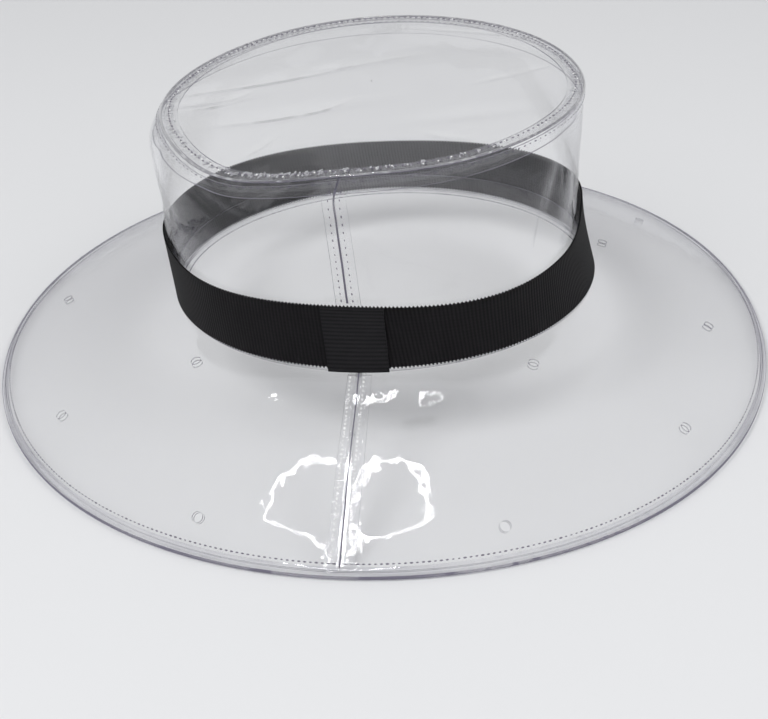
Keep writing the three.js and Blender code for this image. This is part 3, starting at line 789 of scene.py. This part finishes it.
def punch(ply):
    """Cuts the vents through a ply with round rods that stand square to it."""
    form = bmesh.new()
    for degrees, out in VENTS:
        # the vent's middle, a point a little round the brim from it, and one a little further out
        turn = math.radians(degrees) + np.array([0, 0.01, 0])
        distance = out * brim_width(turn[:1])[0] + np.array([0, 0, 0.5])
        spot, beside, beyond = (Vector(point) for point in brim(turn, distance))
        upright = (beside - spot).cross(beyond - spot).normalized()
        tilt = Vector((0, 0, 1)).rotation_difference(upright).to_matrix().to_4x4()
        bmesh.ops.create_cone(
            form, cap_ends=True, segments=VENT_SIDES, radius1=VENT_RADIUS * MM, radius2=VENT_RADIUS * MM,
            depth=ROD_LENGTH * MM, matrix=Matrix.Translation(spot * MM) @ tilt)
    mesh = bpy.data.meshes.new("vent_rods")
    form.to_mesh(mesh)
    form.free()
    mesh.materials.append(cut_edge_shade)
    rods = bpy.data.objects.new("vent_rods", mesh)
    bpy.context.scene.collection.objects.link(rods)
    cut = ply.modifiers.new("vents", "BOOLEAN")
    cut.operation = "DIFFERENCE"
    cut.object = rods
    cut.solver = "EXACT"
    cut.material_mode = "TRANSFER"
    graph = bpy.context.evaluated_depsgraph_get()
    ply.data = bpy.data.meshes.new_from_object(ply.evaluated_get(graph))
    ply.modifiers.clear()
    bpy.data.objects.remove(rods)
    ply.data.shade_smooth()
    ply.data.set_sharp_from_angle(angle=SHARP_TURN)


# the plies lie this far above and below the brim's middle, and start before and behind its foot
PLY_APART = 0.75
UPPER_START, UNDER_START = 0.8, -1.8
# half the strip beside the back seam that its stitches draw up, as a turn
DRAWN_BRIM = math.radians(2.2)
brim_upper = ring_sheet(
    "brim_upper_film", brim, ply_rows(UPPER_START), PLY_APART, (panel_vinyl, drawn_vinyl, cut_edge_shade),
    "brim_upper", drawn=lambda turn, row: np.abs(turn) < DRAWN_BRIM)
brim_under = ring_sheet(
    "brim_under_film", brim, ply_rows(UNDER_START), -PLY_APART, (panel_vinyl, cut_edge_shade), "brim_under")
# the vents go through both plies
for ply in (brim_upper, brim_under):
    punch(ply)

# The brim's edge, where the two plies are turned and topstitched: a soft rounded rim of doubled
# film, which looks darker than the rest because it is seen edge on; its nose is painted in that shade.
EDGE_SECTION = (
    # back from the edge, and height off the brim's middle (None is the plane that the hat rests on)
    (2.6, 1.15), (1.9, 1.22), (1.2, 1.2), (0.6, 1.0), (0.2, 0.62), (0.0, 0.2),
    (0.02, -0.3), (0.12, -0.75), (0.3, None), (1.8, None), (2.3, -1.1), (2.6, -1.1),
)
edge_vinyl = clear_film("edge_vinyl", (0.84, 0.83, 0.92), 0.9, 0.07, 0.06, waves=0.3)


def turned_edge(turn, corner):
    """Points of the edge's section."""
    back = np.array([side[0] for side in EDGE_SECTION])[corner]
    height = np.array([math.nan if side[1] is None else side[1] for side in EDGE_SECTION])[corner]
    points = brim(turn, brim_width(turn) - back)
    points[:, 2] = np.where(np.isnan(height), 0.0, points[:, 2] + np.nan_to_num(height))
    return points


# the section's nose, seen edge on, is painted with the shade of the fold
EDGE_SIDES = [0, 0, 0, 0, 1, 1, 1, 0, 0, 0, 0, 0]
section_ring("brim_edge_film", turned_edge, (edge_vinyl, fold_shade), EDGE_SIDES, ["brim_edge"])

EDGE_STITCHES, EDGE_ROW_IN = 520, 4.0
EDGE_STITCH = (1.25, 0.6, 0.3)
stitch_turns = np.arange(EDGE_STITCHES) * 2 * math.pi / EDGE_STITCHES
places, ways, _, away = seam_frames(brim, stitch_turns, brim_width(stitch_turns) - EDGE_ROW_IN)
sew("brim_edge_stitches", [(places, ways, away, PLY_APART + ON_FILM, *EDGE_STITCH)], painted_shade_thread)

# The brim's seam at the centre back: the allowance under the brim, the folds that meet in a line
# painted as a strip of shade between two pale welts, and two rows of stitches painted white as glints.
BRIM_ROWS_SIDEWAYS, BRIM_PITCH = (-3.2, 2.2), 1.7
BRIM_BACK_STITCH = (1.0, 0.85, 0.6)
back_strip(
    "brim_back_seam_film", brim, (panel_vinyl, cut_edge_shade), ["brim_back_seam"], start=0.7, end=69.3,
    width=BACK_STRIP_WIDTH, offset=-1.6, rows=44, columns=12, thickness=FILM)
back_strip(
    "brim_back_welt", brim, (fold_vinyl,), start=1.2, end=71.2,
    width=2.6, offset=PLY_APART + 0.35, rows=60, columns=4, thickness=0.2)
back_strip(
    # painted shade: a thin dark strip where the folds meet
    "brim_back_shade_line", brim, (fold_shade,), start=1.2, end=71.5,
    width=0.6, offset=PLY_APART + 0.5, rows=60, columns=2, thickness=0.25)
sew("brim_back_stitches", [
    (*down_the_back(brim, 2.0, 70.0, BRIM_PITCH, sideways), PLY_APART + ON_FILM, *BRIM_BACK_STITCH)
    for sideways in BRIM_ROWS_SIDEWAYS], painted_glint_thread)

# The band. A black grosgrain ribbon, 23 mm wide, round the foot of the crown. Its ribs run
# across it, and its woven edges are scalloped where the weft turns round. A short piece of the
# same ribbon is folded over its join at the centre back, with the ribs the other way.
BAND_FOOT, BAND_WIDTH = 1.3, 23.2
RIBBON = 0.6
# there is one rib to a scallop
SCALLOPS, SCALLOP_DEPTH = 388, 0.4
# rows of points up the ribbon, closest together at its two edges
BAND_ROWS = np.array([0.0, 0.5, 2.0, 6.0, 11.0, 16.0, 21.0, 22.7, BAND_WIDTH])
KEEPER_WIDTH, KEEPER_LENGTH, KEEPER_FOOT, KEEPER_LEAN = 23.6, 24.8, 0.1, 1.7
# the keeper stands this far off the wall, outside the band
KEEPER_OUT = 2.6
# a wave texture has one wave in this length at scale 1
WAVE = 2 * math.pi / 20
# next to no waves, for the direction that has none
NO_WAVES = 0.001
# shares of ribs (painted light and shade), crossing threads, worn patches and lint in the ribbon's tone
RIB_SHARE, THREAD_SHARE, WORN_SHARE, LINT_SHARE = 0.5, 0.12, 0.25, 0.15


def grosgrain(name, ribs, threads, dark, light, roughness):
    """Woven ribbon. Ribs and threads are counted along u and v of the flat map, and both cross the
    direction that has more. The ribs are painted lighter, as painted light, and the grooves between them
    darker, as painted shade."""
    material, tree, shader = start_material(name)
    shader.inputs["Roughness"].default_value = roughness
    shader.inputs["Sheen Weight"].default_value = 0.04
    shader.inputs["Sheen Roughness"].default_value = 0.5
    shader.inputs["Specular IOR Level"].default_value = 0.12
    flat = add_node(tree, "ShaderNodeUVMap", uv_map="flat")
    place = add_node(tree, "ShaderNodeMapping", Scale=(ribs[0] * WAVE, ribs[1] * WAVE, 1))
    cord = add_node(tree, "ShaderNodeTexWave", wave_type="BANDS", Scale=1.0, Distortion=0.0)
    cord.bands_direction = "X" if ribs[0] > ribs[1] else "Y"
    crossing = add_node(tree, "ShaderNodeMapping", Scale=(threads[0] * WAVE, threads[1] * WAVE, 1))
    fine = add_node(tree, "ShaderNodeTexWave", wave_type="BANDS", Scale=1.0, Distortion=0.6)
    fine.bands_direction = "X" if threads[0] > threads[1] else "Y"
    where = add_node(tree, "ShaderNodeTexCoord")
    lint = add_node(tree, "ShaderNodeTexNoise", Scale=700.0, Detail=2.0)
    patches = add_node(tree, "ShaderNodeTexNoise", Scale=60.0, Detail=2.0)
    # painted light and shade: the ribs lighten the tone and the grooves between them darken it
    thick = add_node(tree, "ShaderNodeMath", operation="MULTIPLY")
    thick.inputs[1].default_value = RIB_SHARE
    woven = add_node(tree, "ShaderNodeMath", operation="MULTIPLY_ADD")
    woven.inputs[1].default_value = THREAD_SHARE
    worn = add_node(tree, "ShaderNodeMath", operation="MULTIPLY_ADD")
    worn.inputs[1].default_value = WORN_SHARE
    dusty = add_node(tree, "ShaderNodeMath", operation="MULTIPLY_ADD")
    dusty.inputs[1].default_value = LINT_SHARE
    tone = add_node(tree, "ShaderNodeValToRGB")
    tone.color_ramp.elements[0].position, tone.color_ramp.elements[1].position = 0.15, 0.85
    tone.color_ramp.elements[0].color = (*dark, 1)
    tone.color_ramp.elements[1].color = (*light, 1)
    dent = add_node(tree, "ShaderNodeBump", Strength=0.8, Distance=0.0003)
    join(
        tree,
        (flat.outputs["UV"], place.inputs["Vector"]),
        (place.outputs["Vector"], cord.inputs["Vector"]),
        (flat.outputs["UV"], crossing.inputs["Vector"]),
        (crossing.outputs["Vector"], fine.inputs["Vector"]),
        (where.outputs["Object"], lint.inputs["Vector"]),
        (where.outputs["Object"], patches.inputs["Vector"]),
        (cord.outputs["Fac"], thick.inputs[0]),
        (thick.outputs["Value"], woven.inputs[2]),
        (fine.outputs["Fac"], woven.inputs[0]),
        (woven.outputs["Value"], worn.inputs[2]),
        (patches.outputs["Fac"], worn.inputs[0]),
        (worn.outputs["Value"], dusty.inputs[2]),
        (lint.outputs["Fac"], dusty.inputs[0]),
        (dusty.outputs["Value"], tone.inputs["Fac"]),
        (tone.outputs["Color"], shader.inputs["Base Color"]),
        (woven.outputs["Value"], dent.inputs["Height"]),
        (dent.outputs["Normal"], shader.inputs["Normal"]),
    )
    return material


band_ribbon = grosgrain(
    "band_ribbon", (SCALLOPS, NO_WAVES), (NO_WAVES, 30), dark=(0.0045, 0.0045, 0.0055),
    light=(0.0125, 0.0115, 0.0125), roughness=0.85)
# painted light: the keeper is the same ribbon, given a lighter tone than the band
keeper_ribbon = grosgrain(
    "keeper_ribbon", (NO_WAVES, 17), (40, NO_WAVES), dark=(0.0055, 0.0055, 0.0065),
    light=(0.017, 0.0165, 0.018), roughness=0.75)

POINTS_PER_SCALLOP = 5
form, turn, row = sheet_grid(SCALLOPS * POINTS_PER_SCALLOP, len(BAND_ROWS))
outer_edge = np.where(row == 0, -1.0, np.where(row == len(BAND_ROWS) - 1, 1.0, 0.0))
rises = BAND_FOOT + BAND_ROWS[row] + outer_edge * SCALLOP_DEPTH * np.cos(turn * SCALLOPS)
lay(form, wall(turn, rises))
close_ring(form, STAND_OFF)
ribbon_length = sum(face.calc_area() for face in form.faces) / (BAND_WIDTH * MM)
ribbon_band = finish_sheet(
    "ribbon_band_woven", form, RIBBON, (band_ribbon,), ["ribbon_band"])
band_keeper = back_strip(
    "band_keeper_woven", wall, (keeper_ribbon,), ["band_keeper"], start=KEEPER_FOOT,
    end=KEEPER_FOOT + KEEPER_LENGTH, width=KEEPER_WIDTH, offset=KEEPER_OUT, rows=24, columns=30,
    thickness=RIBBON, lean=KEEPER_LEAN)

# The floor and the light: a pale table top just under the brim's flat, a soft even sky and two
# broad soft lamps. The film mirrors neither of the two lamps.
FLOOR_SIZE, FLOOR_DROP = 4, 0.0002
form = bmesh.new()
bmesh.ops.create_grid(form, x_segments=1, y_segments=1, size=FLOOR_SIZE)
mesh = bpy.data.meshes.new("floor")
form.to_mesh(mesh)
form.free()
floor = bpy.data.objects.new("floor", mesh)
bpy.context.scene.collection.objects.link(floor)
floor.location.z = -FLOOR_DROP
material, tree, shader = start_material("pale_table")
shader.inputs["Base Color"].default_value = (0.77, 0.775, 0.785, 1)
shader.inputs["Roughness"].default_value = 0.6
mesh.materials.append(material)

world = bpy.data.worlds.new("studio")
bpy.context.scene.world = world
world.use_nodes = True
world.node_tree.nodes["Background"].inputs["Color"].default_value = (0.98, 0.985, 1.0, 1)
world.node_tree.nodes["Background"].inputs["Strength"].default_value = 0.55


LAMP_AIM = Vector((0, 0, 0.05))


def lamp(name, size, place, power):
    """A round soft lamp that is aimed at the hat."""
    light = bpy.data.lights.new(name, "AREA")
    light.shape = "DISK"
    light.size = size
    light.energy = power
    lamp_object = bpy.data.objects.new(name, light)
    lamp_object.location = place
    lamp_object.visible_glossy = False
    lamp_object.rotation_euler = (LAMP_AIM - Vector(place)).to_track_quat("-Z", "Y").to_euler()
    bpy.context.scene.collection.objects.link(lamp_object)


lamp("key", size=0.9, place=(-0.9, -0.9, 1.5), power=16)
lamp("fill", size=1.2, place=(1.2, -0.5, 1.2), power=9)

# The ring lamp overhead, which the brim mirrors on both sides of its seam. It is a thin flat ring
# that glows, and it shows in mirrors alone.
RING_RADIUS, RING_SPREAD, RING_GLOW = 0.175, 1.04, 34.0
RING_PLACE = (-0.125, -0.2, 1.1)
form = bmesh.new()
bmesh.ops.create_circle(form, segments=96, radius=RING_RADIUS)
ring = bmesh.ops.extrude_edge_only(form, edges=form.edges)
for vertex in (v for v in ring["geom"] if isinstance(v, bmesh.types.BMVert)):
    vertex.co *= RING_SPREAD
mesh = bpy.data.meshes.new("ring_lamp")
form.to_mesh(mesh)
form.free()
ring_lamp = bpy.data.objects.new("ring_lamp", mesh)
ring_lamp.location = RING_PLACE
bpy.context.scene.collection.objects.link(ring_lamp)
material = bpy.data.materials.new("ring_glow")
material.use_nodes = True
tree = material.node_tree
tree.nodes.clear()
glow = add_node(tree, "ShaderNodeEmission", Strength=RING_GLOW)
out = add_node(tree, "ShaderNodeOutputMaterial")
join(tree, (glow.outputs[0], out.inputs["Surface"]))
mesh.materials.append(material)
ring_lamp.visible_diffuse = False
ring_lamp.visible_camera = False

# Light passes many faces of film on its way, but the film needs few bounces
cycles = bpy.context.scene.cycles
cycles.transparent_max_bounces = 40
cycles.max_bounces = 4
cycles.diffuse_bounces = 2
cycles.glossy_bounces = 2
cycles.adaptive_threshold = 0.03
bpy.context.scene.view_settings.view_transform = "Standard"
